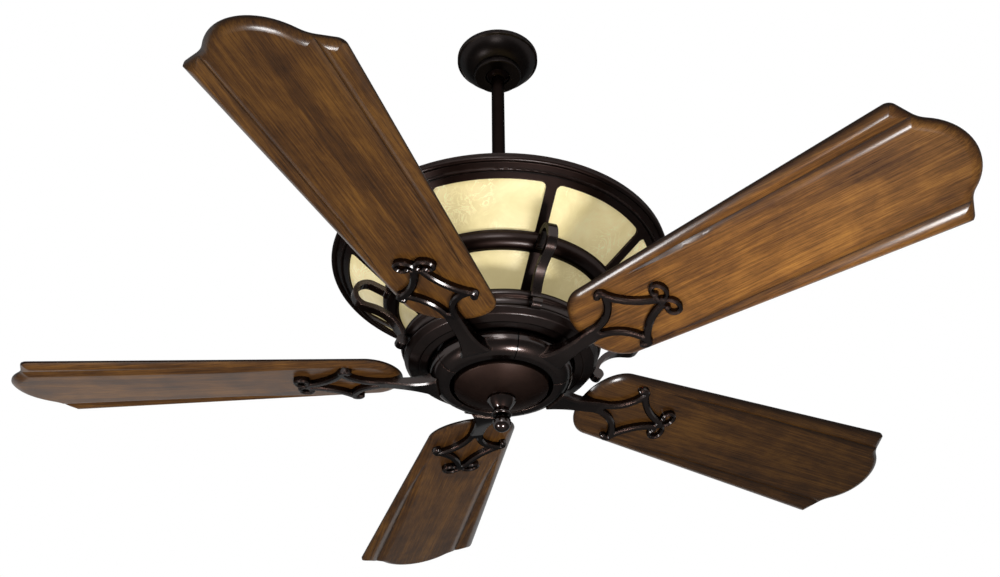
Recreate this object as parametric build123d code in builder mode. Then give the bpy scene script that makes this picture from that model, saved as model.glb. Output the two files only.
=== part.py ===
from build123d import *
import os
from math import acos, asin, atan2, copysign, cos, degrees, hypot, radians, sin, tan

# Ceiling fan with an uplight bowl, in millimetres.
# The origin is the middle of the ceiling bracket's top face, and the fan hangs down along -Z.

# Overall sizes
blade_span = 1422.4
tip_drop = 622.3
blade_count = 5
rotor_turn = 31.95
fit_gap = 0.3
slip_gap = 0.05

# Ceiling bracket, canopy and hanger ball
box_spacing = 88.9
box_slot_length = 12.0
box_slot_width = 5.2
bracket_length = 118.0
bracket_width = 30.0
bracket_gauge = 2.5
ball_radius = 25.4
ball_drop = 26.5
ball_flat_height = 16.0
seat_depth_low = 12.0
seat_depth_high = 6.5
seat_wall = 7.3
hook_gap = 25.0
key_width = 4.0
key_reach = 4.0
key_groove_width = 5.0
key_groove_floor = 13.5
canopy_radius = 68.0
canopy_rim_height = 7.5
canopy_step = 3.5
canopy_swell = 4.8
canopy_neck_radius = 36.5
canopy_neck_height = 6.5
canopy_gauge = 1.5
canopy_hole_radius = 24.5
canopy_screw_radius = 2.0
canopy_screw_head_radius = 3.6
canopy_screw_head = 1.8
trim_radius = 39.0
trim_height = 8.0
trim_gauge = 1.5
trim_hole_radius = 20.8

# Rod and its pins
rod_radius = 10.65
rod_wall = 2.6
rod_top_reach = 12.0
pin_radius = 3.0
pin_margin = 4.0

# Heights below are above the hub's level, which is that of the blade tips.
# Rod coupling on the motor shaft
coupling_radius = 19.0
coupling_bottom = 55.0
coupling_top = 102.0
rod_foot = 78.0
coupling_pin_height = 88.0
coupling_screw_height = 96.0
coupling_screw_radius = 3.0

# Motor housing: a turned shell with a top bead, a cove, a ledge and two fascias
housing_top = 38.5
housing_bead_radius = 144.0
housing_bead_height = 11.5
housing_top_radius = 140.5
housing_cove_radius = 136.3
housing_ledge_radius = 138.5
housing_ledge_height = 12.8
housing_fascia_radius = 132.0
housing_fascia_height = 3.7
housing_step_radius = 118.0
housing_step_height = -0.5
housing_lip_radius = 107.0
housing_lip_height = -1.3
housing_mouth_radius = 104.5
housing_wall = 2.8
housing_quirk = 1.0
housing_round = 2.4
housing_lip_round = 1.1
cover_seat_radius = 138.0
cover_seat_width = 10.0
cover_gauge = 2.5
cover_boss_radius = 15.0
cover_screw_radius = 1.6
cover_screw_head_radius = 3.2
cover_screw_head = 2.2
cover_screw_count = 4

# Motor: still shaft and stator inside a turning shell
shaft_radius = 8.5
shaft_bore_radius = 4.0
shaft_stub_radius = 5.0
shaft_shoulder = -14.0
bearing_split_radius = 14.0
bearing_radius = 16.0
bearing_width = 10.0
rotor_bottom = -4.0
rotor_top = 33.0
rotor_plate = 3.0
rotor_joint = 14.5
rotor_radius = 92.0
rotor_wall = 5.0
rotor_boss_wall = 4.0
air_gap = 0.6
core_bottom = 7.0
core_top = 22.0
coil_inner_radius = 48.0
coil_outer_radius = 82.0
coil_height = 6.0

# Cap under the hub
cap_radius = 66.5
cap_edge_height = -34.5
cap_apex_height = -53.2
cap_skirt_top = -19.5
cap_wall = 2.0
cap_carrier_top = -19.0
cap_carrier_gauge = 3.0
cap_carrier_hub_radius = 9.0
finial_base_radius = 20.0
finial_base_lip = 2.0
finial_neck_radius = 10.8
finial_flare = 6.2
finial_flare_drop = 7.0
finial_ring_tuck = 2.0
finial_ball_neck = 0.9
finial_neck_height = -68.0
finial_ring_radius = 14.2
finial_ring_top = -73.0
finial_ring_bottom = -78.0
finial_ball_radius = 13.0
finial_ball_height = -90.0
finial_thread_bottom = -66.0

# Bowl: a cone of glass in a cast cage, under a turned rim
bowl_slope = 40.4
window_top_radius = 226.5
cage_gauge = 3.5
cage_foot_height = 38.5
cage_foot_radius = 83.26798
cage_flange_gauge = 3.0
cage_flange_radius = 70.0
cage_screw_circle = 76.0
cage_collar = 11.0
rib_count = 8
rib_turn = 19.0
rib_width = 15.5
window_corner_radius = 8.0
window_foot_corner = 2.5
band_top_radius = 172.0
band_foot_radius = 151.6
band_bulge = 9.0
band_margin = 0.6
lower_window_radius = 104.0
cut_depth = 24.0
glass_gauge = 3.0
glass_gap = 1.0
glass_overlap = 5.0
glass_seat = 0.5
rim_bead = 4.0
rim_bead_height = 2.6
rim_band = 8.4
rim_band_height = 0.8
rim_roll = 8.6
rim_roll_height = 5.0
rim_lip = 3.86016
rim_wall = 9.0

# Scroll brackets in front of every second rib
scroll_count = 4
scroll_width = 14.0
scroll_strap = 7.5
scroll_foot_lead = 72.0
scroll_foot_height = 15.5
scroll_loop_radius = 19.5
scroll_run = 8.0
scroll_bend_radius = 58.0
scroll_bend_arc = 65.0
scroll_foot_radius = 8.5
scroll_end_radius = 5.5

# Lamps in the bowl
lamp_count = 4
lamp_circle_radius = 50.0
lamp_plate_gauge = 2.0
lamp_plate_outer = 66.0
socket_radius = 12.0
socket_height = 34.0
socket_bore_radius = 8.0
socket_floor = 4.0
bulb_base_radius = 7.6
bulb_radius = 17.5
bulb_length = 92.0
bulb_swell_share = 0.42

# Blade irons
iron_gap = 1.4
iron_ring_bottom = -31.3
iron_ring_hole_radius = 73.3
iron_ring_flat_radius = 83.0
iron_ring_radius = 102.5
iron_ring_shoulder = -10.0
iron_ring_swell = 4.7
iron_wall = 5.0
iron_flange_radius = 48.0
iron_screw_circle = 60.0
iron_screw_radius = 2.5
iron_screw_head_radius = 4.5
iron_screw_head = 3.0
iron_screw_spread = 36.0
iron_depth = 9.0
iron_bar = 10.5
iron_edge = 2.2
iron_fork_r = 165.0
iron_fork_reach = 6.0
iron_corner_r = 220.0
iron_corner_reach = 48.0
iron_joint_r = 277.0
iron_joint_reach = 5.0
iron_joint_lead = 14.0
iron_web_run = 4.0
iron_web_radius = 8.0
iron_crook_radius = 5.5
iron_crook_arc = 165.0
iron_crook_bar = 9.5
iron_crook_ball = 5.0
iron_scroll_radius = 15.5
iron_scroll_arc = 120.0
iron_eye_radius = 8.5
iron_eye_arc = 190.0
iron_eye_ball = 4.2
iron_scroll_bar = 6.0
iron_joint_radius = 6.5
# Arm sections up to the fork: radius, width, height of the bottom, depth and share of the pitch
arm_sections = (
    (90.0, 46.0, -31.3, 20.0, 0.0),
    (108.0, 30.0, -29.3, 15.5, 0.25),
    (134.0, 22.5, -25.0, 12.0, 0.75),
)

# Blades
blade_pitch = 13.2
blade_rise = 1.28
blade_axis_drop = 14.14818
blade_thickness = 9.5
blade_nose_r = 142.0
blade_root_r = 190.0
blade_root_width = 138.0
blade_tip_width = 209.0
tip_crown_radius = 78.0
tip_crown_arc = 50.3
tip_scoop_radius = 40.0
tip_scoop_arc = 28.3
tip_corner_fillet = 12.0
blade_edge_width = 13.0
blade_edge_depth = 6.5
blade_edge_swell = 1.2
blade_top_round = 1.5
groove_start_r = 261.5
groove_start_reach = 60.0
groove_tip_reach = 75.5
groove_lead = 150.0
groove_depth = 4.6
groove_overrun = 8.0
groove_panel_side = 12.5
groove_strip_side = 14.5
groove_swell = 0.9
blade_screw_radius = 2.4
blade_screw_head_radius = 5.2
blade_screw_head = 2.6
blade_screw_bite = 6.0

# Levels and planes shared by the pieces
hub_z = -tip_drop
ball_z = -ball_drop
tip_r = blade_span / 2
slope_cos = cos(radians(bowl_slope))
slope_sin = sin(radians(bowl_slope))
window_top_height = cage_foot_height + (window_top_radius - cage_foot_radius) * tan(radians(bowl_slope))
blade_axis_z = hub_z - blade_axis_drop
blade_along = Vector(1, 0, 0).rotate(Axis.Y, -blade_rise)
blade_up = Vector(0, 0, 1).rotate(Axis.Y, -blade_rise).rotate(Axis((0, 0, 0), blade_along), -blade_pitch)
blade_plane = Plane(origin=(0, 0, blade_axis_z), x_dir=blade_along, z_dir=blade_up)
iron_plane = blade_plane.offset(-iron_depth)
iron_middle = blade_plane.offset(-iron_depth / 2)
pitch_step = 360 / blade_count


def section_at(azimuth):
    """Upright plane through the axis: first coordinate outward, second above the tip level."""
    turn = radians(azimuth)
    return Plane(origin=(0, 0, hub_z), x_dir=(cos(turn), sin(turn), 0), z_dir=(sin(turn), -cos(turn), 0))


hub_section = section_at(0)


def cone_height(radius, depth=0.0):
    """Height of the bowl's cone at a radius, on a surface that lies depth inside the outer one."""
    return window_top_height + (radius - window_top_radius) * tan(radians(bowl_slope)) + depth / slope_cos


def cone_radius(height, depth=0.0):
    """Radius of the bowl's cone at a height, on a surface that lies depth inside the outer one."""
    return window_top_radius + (height - window_top_height - depth / slope_cos) / tan(radians(bowl_slope))


def rim_point(along, out):
    """Point of the rim's moulding: along the slope from the window's top edge, and out from it."""
    radius = window_top_radius + along * slope_cos + out * slope_sin
    return (radius, window_top_height + along * slope_sin - out * slope_cos)


def point_round(centre, radius, angle):
    """Point at a radius and an angle round a centre."""
    return (centre[0] + radius * cos(radians(angle)), centre[1] + radius * sin(radians(angle)))


def save(piece, name):
    """Label a finished piece and write it."""
    piece.part.label = name
    export_step(piece.part, f"parts/{name}.step")


def save_turned_copies(piece, name, count, start):
    """Write copies of a piece, turned evenly about the axis."""
    for index in range(count):
        with BuildPart() as copy:
            with Locations(Location((0, 0, 0), (0, 0, start + index * 360 / count))):
                add(piece.part)
        save(copy, f"{name}_{index + 1}")


os.makedirs("parts", exist_ok=True)

# Ceiling mount
seat_bottom = ball_z - seat_depth_low
seat_top = ball_z - seat_depth_high
seat_radius = ball_radius + seat_wall
leg_x = seat_radius - bracket_gauge / 2

with BuildPart() as ceiling_bracket:
    with BuildSketch(Plane.XY):
        Rectangle(bracket_length, bracket_width)
        with GridLocations(box_spacing, 0, 2, 1):
            SlotOverall(box_slot_length, box_slot_width, mode=Mode.SUBTRACT)
    extrude(amount=-bracket_gauge)
    with BuildSketch(Plane.XY.offset(seat_top)):
        with GridLocations(2 * leg_x, 0, 2, 1):
            Rectangle(bracket_gauge, bracket_width)
    extrude(amount=-seat_top - bracket_gauge)
    with BuildSketch(Plane.XY.offset(seat_bottom)):
        Circle(seat_radius)
    extrude(amount=seat_top - seat_bottom)
    with Locations((0, 0, ball_z)):
        Sphere(ball_radius + fit_gap, mode=Mode.SUBTRACT)
    with Locations((0, -seat_radius / 2, seat_bottom)):
        Box(hook_gap, seat_radius, 3 * seat_depth_low, mode=Mode.SUBTRACT)
    key_x = ball_radius * cos(asin(seat_depth_low / ball_radius)) - key_reach
    with Locations(((key_x + seat_radius) / 2, 0, (seat_bottom + seat_top) / 2)):
        Box(seat_radius - key_x, key_width, seat_top - seat_bottom)
    with BuildSketch(Plane.XY.offset(seat_bottom)):
        with PolarLocations((ball_radius + seat_radius) / 2, 2, start_angle=45):
            Circle(canopy_screw_radius)
    extrude(amount=seat_top - seat_bottom, mode=Mode.SUBTRACT)
save(ceiling_bracket, "ceiling_bracket")

neck_bottom = seat_bottom - canopy_gauge
dome_top = -canopy_rim_height - canopy_gauge
dome_foot = neck_bottom + canopy_neck_height
dome_r = canopy_radius - canopy_step
dome_head = Vector(dome_r, dome_top)
dome_base = Vector(canopy_neck_radius, dome_foot)
dome_out = (dome_base - dome_head).normalized().rotate(Axis.Z, 90)
dome_mid = (dome_head + dome_base) / 2 + dome_out * canopy_swell

with BuildPart() as canopy:
    with BuildSketch(Plane.XZ):
        with BuildLine():
            Polyline(
                (canopy_radius - canopy_gauge, 0),
                (canopy_radius, 0),
                (canopy_radius, -canopy_rim_height),
                (dome_r, dome_top),
            )
            ThreePointArc((dome_r, dome_top), dome_mid, (canopy_neck_radius, dome_foot))
            Polyline(
                (canopy_neck_radius, dome_foot),
                (canopy_neck_radius, neck_bottom),
                (canopy_hole_radius, neck_bottom),
                (canopy_hole_radius, seat_bottom),
                (canopy_neck_radius - canopy_gauge, seat_bottom),
                (canopy_neck_radius - canopy_gauge, dome_foot),
            )
            ThreePointArc(
                (canopy_neck_radius - canopy_gauge, dome_foot),
                dome_mid - dome_out * canopy_gauge,
                (dome_r - canopy_gauge, dome_top + canopy_gauge),
            )
            Polyline(
                (dome_r - canopy_gauge, dome_top + canopy_gauge),
                (canopy_radius - canopy_gauge, -canopy_rim_height + canopy_gauge),
                (canopy_radius - canopy_gauge, 0),
            )
        make_face()
    revolve(axis=Axis.Z)
    with BuildSketch(Plane.XY.offset(neck_bottom)):
        with PolarLocations((ball_radius + seat_radius) / 2, 2, start_angle=45):
            Circle(canopy_screw_radius + fit_gap)
    extrude(amount=canopy_gauge, mode=Mode.SUBTRACT)
save(canopy, "canopy")

trim_bottom = neck_bottom - canopy_screw_head - fit_gap - trim_gauge
trim_bore = canopy_neck_radius + fit_gap
with BuildPart() as canopy_trim_ring:
    with BuildSketch(Plane.XZ):
        with BuildLine():
            Polyline(
                (trim_hole_radius, trim_bottom),
                (trim_radius, trim_bottom),
                (trim_radius, trim_bottom + trim_height),
                (trim_bore, trim_bottom + trim_height),
                (trim_bore, trim_bottom + trim_gauge),
                (trim_hole_radius, trim_bottom + trim_gauge),
                close=True,
            )
        make_face()
    revolve(axis=Axis.Z)
    outer_edges = canopy_trim_ring.edges().filter_by(GeomType.CIRCLE).group_by(Axis.Z)
    fillet(outer_edges[0].sort_by(SortBy.RADIUS)[-1], trim_radius - trim_bore)
save(canopy_trim_ring, "canopy_trim_ring")

with BuildPart() as canopy_screws:
    with BuildSketch(Plane.XY.offset(neck_bottom)):
        with PolarLocations((ball_radius + seat_radius) / 2, 2, start_angle=45):
            Circle(canopy_screw_head_radius)
    extrude(amount=-canopy_screw_head)
    with BuildSketch(Plane.XY.offset(neck_bottom)):
        with PolarLocations((ball_radius + seat_radius) / 2, 2, start_angle=45):
            Circle(canopy_screw_radius - slip_gap)
    extrude(amount=canopy_gauge + (seat_top - seat_bottom))
save(canopy_screws, "canopy_screws")

# Hanger ball, rod and coupling
rod_top = ball_z + rod_top_reach
rod_bottom = hub_z + rod_foot
ball_pin_plane = Plane(origin=(0, 0, ball_z), x_dir=(1, 0, 0), z_dir=(0, 1, 0))
coupling_pin_plane = Plane(origin=(0, 0, hub_z + coupling_pin_height), x_dir=(0, 1, 0), z_dir=(1, 0, 0))
ball_pin_length = 2 * (ball_radius - pin_margin)
coupling_pin_length = 2 * (coupling_radius + pin_margin)

with BuildPart() as hanger_ball:
    with Locations((0, 0, ball_z)):
        Sphere(ball_radius)
    with Locations((0, 0, ball_z + ball_flat_height)):
        Box(3 * ball_radius, 3 * ball_radius, ball_radius, align=(Align.CENTER, Align.CENTER, Align.MIN),
            mode=Mode.SUBTRACT)
    with Locations((0, 0, ball_z)):
        Cylinder(rod_radius + slip_gap, 3 * ball_radius, mode=Mode.SUBTRACT)
    with BuildSketch(ball_pin_plane):
        Circle(pin_radius + slip_gap)
    extrude(amount=2 * ball_radius, both=True, mode=Mode.SUBTRACT)
    with Locations((key_groove_floor, 0, ball_z)):
        Box(ball_radius, key_groove_width, 3 * ball_radius, align=(Align.MIN, Align.CENTER, Align.CENTER),
            mode=Mode.SUBTRACT)
save(hanger_ball, "hanger_ball")

with BuildPart() as hanger_pin:
    with BuildSketch(ball_pin_plane):
        Circle(pin_radius)
    extrude(amount=ball_pin_length / 2, both=True)
save(hanger_pin, "hanger_pin")

with BuildPart() as downrod:
    with BuildSketch(Plane.XY.offset(rod_bottom)):
        Circle(rod_radius)
        Circle(rod_radius - rod_wall, mode=Mode.SUBTRACT)
    extrude(amount=rod_top - rod_bottom)
    for pin_plane in (ball_pin_plane, coupling_pin_plane):
        with BuildSketch(pin_plane):
            Circle(pin_radius + slip_gap)
        extrude(amount=2 * rod_radius, both=True, mode=Mode.SUBTRACT)
save(downrod, "downrod")

coupling_screw_plane = Plane(origin=(0, 0, hub_z + coupling_screw_height), x_dir=(1, 0, 0), z_dir=(0, 1, 0))
with BuildPart() as rod_coupling:
    with BuildSketch(Plane.XY.offset(hub_z + coupling_bottom)):
        Circle(coupling_radius)
    extrude(amount=coupling_top - coupling_bottom)
    chamfer(rod_coupling.edges().filter_by(GeomType.CIRCLE), coupling_radius / 10)
    with BuildSketch(Plane.XY.offset(rod_bottom)):
        Circle(rod_radius + slip_gap)
    extrude(amount=coupling_top - rod_foot, mode=Mode.SUBTRACT)
    with BuildSketch(Plane.XY.offset(rod_bottom)):
        Circle(shaft_radius + slip_gap)
    extrude(amount=coupling_bottom - rod_foot, mode=Mode.SUBTRACT)
    with BuildSketch(coupling_pin_plane):
        Circle(pin_radius + slip_gap)
    extrude(amount=2 * coupling_radius, both=True, mode=Mode.SUBTRACT)
    with BuildSketch(coupling_screw_plane):
        Circle(coupling_screw_radius + slip_gap)
    extrude(amount=2 * coupling_radius, both=True, mode=Mode.SUBTRACT)
save(rod_coupling, "rod_coupling")

with BuildPart() as coupling_pin:
    with BuildSketch(coupling_pin_plane):
        Circle(pin_radius)
    extrude(amount=coupling_pin_length / 2, both=True)
save(coupling_pin, "coupling_pin")

with BuildPart() as coupling_screws:
    for side in (1, -1):
        with BuildSketch(coupling_screw_plane.offset(side * (rod_radius + slip_gap))):
            Circle(coupling_screw_radius)
        extrude(amount=side * (coupling_radius - rod_radius))
save(coupling_screws, "coupling_screws")

# Motor housing and cover
cover_seat_height = housing_top - cover_gauge
cover_seat_inner = cover_seat_radius - cover_seat_width
cover_screw_circle = (cover_seat_radius + cover_seat_inner) / 2
cove_top = housing_top - housing_bead_height
with BuildPart() as motor_housing:
    with BuildSketch(hub_section) as housing_outline:
        with BuildLine():
            ThreePointArc(
                (housing_top_radius, housing_top),
                (housing_bead_radius, housing_top - housing_bead_height / 2),
                (housing_top_radius + housing_quirk, cove_top),
            )
            Line(
                (housing_top_radius + housing_quirk, cove_top),
                (housing_ledge_radius, cove_top - housing_quirk),
            )
            ThreePointArc(
                (housing_ledge_radius, cove_top - housing_quirk),
                (housing_cove_radius, (cove_top + housing_ledge_height) / 2),
                (housing_cove_radius + housing_quirk, housing_ledge_height + 2 * housing_quirk),
            )
            ThreePointArc(
                (housing_cove_radius + housing_quirk, housing_ledge_height + 2 * housing_quirk),
                (housing_ledge_radius, housing_ledge_height),
                (housing_ledge_radius - housing_quirk, housing_ledge_height - 2 * housing_quirk),
            )
            Polyline(
                (housing_ledge_radius - housing_quirk, housing_ledge_height - 2 * housing_quirk),
                (housing_fascia_radius, housing_fascia_height),
                (housing_step_radius, housing_step_height),
                (housing_step_radius - 2 * housing_quirk, housing_step_height + housing_quirk),
                (housing_lip_radius, housing_lip_height),
                (housing_mouth_radius, housing_lip_height),
                (housing_mouth_radius, housing_lip_height + housing_wall),
                (housing_step_radius, housing_step_height + housing_wall),
                (housing_fascia_radius - housing_quirk, housing_fascia_height + housing_wall),
                (housing_cove_radius - housing_wall, housing_ledge_height + housing_quirk),
                (housing_cove_radius - housing_wall, cove_top - housing_quirk),
                (cover_seat_inner, cove_top + housing_wall),
                (cover_seat_inner, cover_seat_height),
                (cover_seat_radius, cover_seat_height),
                (cover_seat_radius, housing_top),
                (housing_top_radius, housing_top),
            )
        make_face()
        for corner, rounding in (
            ((housing_fascia_radius, housing_fascia_height), housing_round),
            ((housing_step_radius, housing_step_height), housing_round),
            ((housing_mouth_radius, housing_lip_height), housing_lip_round),
        ):
            fillet(housing_outline.vertices().sort_by_distance(corner)[0], rounding)
    revolve(axis=Axis.Z)
    with BuildSketch(Plane.XY.offset(hub_z + cover_seat_height)):
        with PolarLocations(cover_screw_circle, cover_screw_count):
            Circle(cover_screw_radius)
    extrude(amount=-cover_seat_width / 2, mode=Mode.SUBTRACT)
save(motor_housing, "motor_housing")

with BuildPart() as motor_cover:
    with BuildSketch(hub_section):
        with BuildLine():
            Polyline(
                (shaft_radius + slip_gap, cover_seat_height),
                (cover_seat_radius - fit_gap, cover_seat_height),
                (cover_seat_radius - fit_gap, housing_top),
                (cover_boss_radius, housing_top),
                (cover_boss_radius, coupling_bottom),
                (shaft_radius + slip_gap, coupling_bottom),
                close=True,
            )
        make_face()
    revolve(axis=Axis.Z)
    with BuildSketch(Plane.XY.offset(hub_z + housing_top)):
        with PolarLocations(cover_screw_circle, cover_screw_count):
            Circle(cover_screw_radius + fit_gap)
        with PolarLocations(cage_screw_circle, cover_screw_count):
            Circle(cover_screw_radius)
    extrude(amount=-cover_gauge, mode=Mode.SUBTRACT)
save(motor_cover, "motor_cover")

with BuildPart() as housing_screws:
    for circle, level, bite in (
        (cover_screw_circle, housing_top, cover_gauge + cover_seat_width / 3),
        (cage_screw_circle, housing_top + cage_flange_gauge, cage_flange_gauge + cover_gauge - slip_gap),
    ):
        with BuildSketch(Plane.XY.offset(hub_z + level)):
            with PolarLocations(circle, cover_screw_count):
                Circle(cover_screw_head_radius)
        extrude(amount=cover_screw_head)
        with BuildSketch(Plane.XY.offset(hub_z + level)):
            with PolarLocations(circle, cover_screw_count):
                Circle(cover_screw_radius - slip_gap)
        extrude(amount=-bite)
save(housing_screws, "housing_screws")

# Motor shaft, stator and bearings
with BuildPart() as motor_shaft:
    with BuildSketch(hub_section):
        with BuildLine():
            Polyline(
                (shaft_bore_radius, rod_foot - fit_gap),
                (shaft_radius, rod_foot - fit_gap),
                (shaft_radius, shaft_shoulder),
                (shaft_stub_radius, shaft_shoulder),
                (shaft_stub_radius, finial_thread_bottom),
                (shaft_bore_radius, finial_thread_bottom),
                close=True,
            )
        make_face()
    revolve(axis=Axis.Z)
save(motor_shaft, "motor_shaft")

core_radius = rotor_radius - rotor_wall - air_gap
with BuildPart() as stator_core:
    with BuildSketch(Plane.XY.offset(hub_z + core_bottom)):
        Circle(core_radius)
        Circle(shaft_radius + slip_gap, mode=Mode.SUBTRACT)
    extrude(amount=core_top - core_bottom)
save(stator_core, "stator_core")

with BuildPart() as stator_winding:
    for level, lift in ((core_top, coil_height), (core_bottom, -coil_height)):
        with BuildSketch(Plane.XY.offset(hub_z + level)):
            Circle(coil_outer_radius)
            Circle(coil_inner_radius, mode=Mode.SUBTRACT)
        extrude(amount=lift)
save(stator_winding, "stator_winding")

bearing_levels = (rotor_bottom, rotor_top - bearing_width)
with BuildPart() as bearing_inner_races:
    for level in bearing_levels:
        with BuildSketch(Plane.XY.offset(hub_z + level)):
            Circle(bearing_split_radius)
            Circle(shaft_radius + slip_gap, mode=Mode.SUBTRACT)
        extrude(amount=bearing_width)
save(bearing_inner_races, "bearing_inner_races")

with BuildPart() as bearing_outer_races:
    for level in bearing_levels:
        with BuildSketch(Plane.XY.offset(hub_z + level)):
            Circle(bearing_radius)
            Circle(bearing_split_radius + slip_gap, mode=Mode.SUBTRACT)
        extrude(amount=bearing_width)
save(bearing_outer_races, "bearing_outer_races")

# Turning shell round the stator
boss_bore = bearing_radius + slip_gap
boss_radius = boss_bore + rotor_boss_wall
iron_turns = [rotor_turn + index * pitch_step for index in range(blade_count)]
iron_screw_turns = [turn + side * iron_screw_spread / 2 for turn in iron_turns for side in (1, -1)]
iron_screw_places = [point_round((0, 0), iron_screw_circle, turn) for turn in iron_screw_turns]

with BuildPart() as rotor_lower:
    with BuildSketch(hub_section):
        with BuildLine():
            Polyline(
                (boss_bore, rotor_bottom),
                (rotor_radius, rotor_bottom),
                (rotor_radius, rotor_joint),
                (rotor_radius - rotor_wall, rotor_joint),
                (rotor_radius - rotor_wall, rotor_bottom + rotor_plate),
                (boss_radius, rotor_bottom + rotor_plate),
                (boss_radius, rotor_bottom + bearing_width),
                (boss_bore, rotor_bottom + bearing_width),
                close=True,
            )
        make_face()
    revolve(axis=Axis.Z)
    with BuildSketch(Plane.XY.offset(hub_z + rotor_bottom)):
        with Locations(*iron_screw_places):
            Circle(iron_screw_radius)
    extrude(amount=rotor_plate, mode=Mode.SUBTRACT)
save(rotor_lower, "rotor_lower")

with BuildPart() as rotor_upper:
    with BuildSketch(hub_section):
        with BuildLine():
            Polyline(
                (boss_bore, rotor_top),
                (rotor_radius, rotor_top),
                (rotor_radius, rotor_joint),
                (rotor_radius - rotor_wall, rotor_joint),
                (rotor_radius - rotor_wall, rotor_top - rotor_plate),
                (boss_radius, rotor_top - rotor_plate),
                (boss_radius, rotor_top - bearing_width),
                (boss_bore, rotor_top - bearing_width),
                close=True,
            )
        make_face()
    revolve(axis=Axis.Z)
save(rotor_upper, "rotor_upper")

# Cap and finial under the hub
cap_sag = cap_edge_height - cap_apex_height
cap_sphere = (cap_radius ** 2 + cap_sag ** 2) / (2 * cap_sag)
cap_centre = cap_apex_height + cap_sphere
cap_mid_r = cap_radius / 2
cap_hole = shaft_stub_radius + fit_gap


def cap_height(radius, wall=0.0):
    """Height of the cap's dome at a radius, on its outer face or wall inside it."""
    return cap_centre - (((cap_sphere - wall) ** 2 - radius ** 2) ** 0.5)


with BuildPart() as dome_cap:
    with BuildSketch(hub_section):
        with BuildLine():
            ThreePointArc(
                (cap_hole, cap_height(cap_hole)),
                (cap_mid_r, cap_height(cap_mid_r)),
                (cap_radius, cap_edge_height),
            )
            Polyline(
                (cap_radius, cap_edge_height),
                (cap_radius, cap_skirt_top),
                (cap_radius - cap_wall, cap_skirt_top),
                (cap_radius - cap_wall, cap_height(cap_radius - cap_wall, cap_wall)),
            )
            ThreePointArc(
                (cap_radius - cap_wall, cap_height(cap_radius - cap_wall, cap_wall)),
                (cap_mid_r, cap_height(cap_mid_r, cap_wall)),
                (cap_hole, cap_height(cap_hole, cap_wall)),
            )
            Line((cap_hole, cap_height(cap_hole, cap_wall)), (cap_hole, cap_height(cap_hole)))
        make_face()
    revolve(axis=Axis.Z)
save(dome_cap, "dome_cap")

with BuildPart() as cap_carrier:
    with BuildSketch(hub_section):
        with BuildLine():
            Polyline(
                (shaft_stub_radius + slip_gap, shaft_shoulder),
                (cap_carrier_hub_radius, shaft_shoulder),
                (cap_carrier_hub_radius, cap_carrier_top),
                (cap_radius - cap_wall - fit_gap, cap_carrier_top),
                (cap_radius - cap_wall - fit_gap, cap_carrier_top - cap_carrier_gauge),
                (shaft_stub_radius + slip_gap, cap_carrier_top - cap_carrier_gauge),
                close=True,
            )
        make_face()
    revolve(axis=Axis.Z)
save(cap_carrier, "cap_carrier")

finial_top = cap_height(shaft_stub_radius + slip_gap) - slip_gap
finial_ring_mid = (finial_ring_top + finial_ring_bottom) / 2
ball_neck_height = finial_ball_height + finial_ball_radius * finial_ball_neck
ball_neck_radius = finial_ball_radius * (1 - finial_ball_neck ** 2) ** 0.5
with BuildPart() as finial:
    with BuildSketch(hub_section):
        with BuildLine():
            Polyline(
                (0, finial_thread_bottom),
                (shaft_stub_radius + slip_gap, finial_thread_bottom),
                (shaft_stub_radius + slip_gap, finial_top),
            )
            ThreePointArc(
                (shaft_stub_radius + slip_gap, finial_top),
                (finial_base_radius / 2, cap_height(finial_base_radius / 2) - slip_gap),
                (finial_base_radius, cap_height(finial_base_radius) - slip_gap),
            )
            Line(
                (finial_base_radius, cap_height(finial_base_radius) - slip_gap),
                (finial_base_radius, finial_top - finial_base_lip),
            )
            ThreePointArc(
                (finial_base_radius, finial_top - finial_base_lip),
                (finial_neck_radius + finial_flare, finial_top - finial_flare_drop),
                (finial_neck_radius, finial_neck_height),
            )
            Line((finial_neck_radius, finial_neck_height), (finial_neck_radius, finial_ring_top))
            ThreePointArc(
                (finial_neck_radius, finial_ring_top),
                (finial_ring_radius, finial_ring_mid),
                (finial_neck_radius - finial_ring_tuck, finial_ring_bottom),
            )
            Line(
                (finial_neck_radius - finial_ring_tuck, finial_ring_bottom),
                (ball_neck_radius, ball_neck_height),
            )
            ThreePointArc(
                (ball_neck_radius, ball_neck_height),
                (finial_ball_radius, finial_ball_height),
                (0, finial_ball_height - finial_ball_radius),
            )
            Line((0, finial_ball_height - finial_ball_radius), (0, finial_thread_bottom))
        make_face()
    revolve(axis=Axis.Z)
save(finial, "finial")

# Bowl cage: cone with windows, a round middle band, a foot flange and a flat head for the rim
cage_head_r, cage_head_height = rim_point(cage_collar, 0)
cage_inner_shift = cage_gauge / slope_sin
flange_top = cage_foot_height + cage_flange_gauge
band_mid_r = (band_top_radius + band_foot_radius) / 2
band_apex = (band_mid_r + band_bulge * slope_sin, cone_height(band_mid_r) - band_bulge * slope_cos)
rib_step = 360 / rib_count


def window_plane(middle_radius, azimuth):
    """Plane touching the cone at the middle of a window, with its normal pointing out of the bowl."""
    turn = radians(azimuth)
    return Plane(
        origin=(middle_radius * cos(turn), middle_radius * sin(turn), hub_z + cone_height(middle_radius)),
        x_dir=(-sin(turn), cos(turn), 0),
        z_dir=(slope_sin * cos(turn), slope_sin * sin(turn), -slope_cos),
    )


def window_point(radius, middle_radius, turn):
    """Point of the cone on a window's plane, turned away from the window's middle."""
    reach = radius * sin(turn)
    rise = (radius * cos(turn) - middle_radius) * slope_cos
    return (reach, rise + (radius - middle_radius) * tan(radians(bowl_slope)) * slope_sin)


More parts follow.
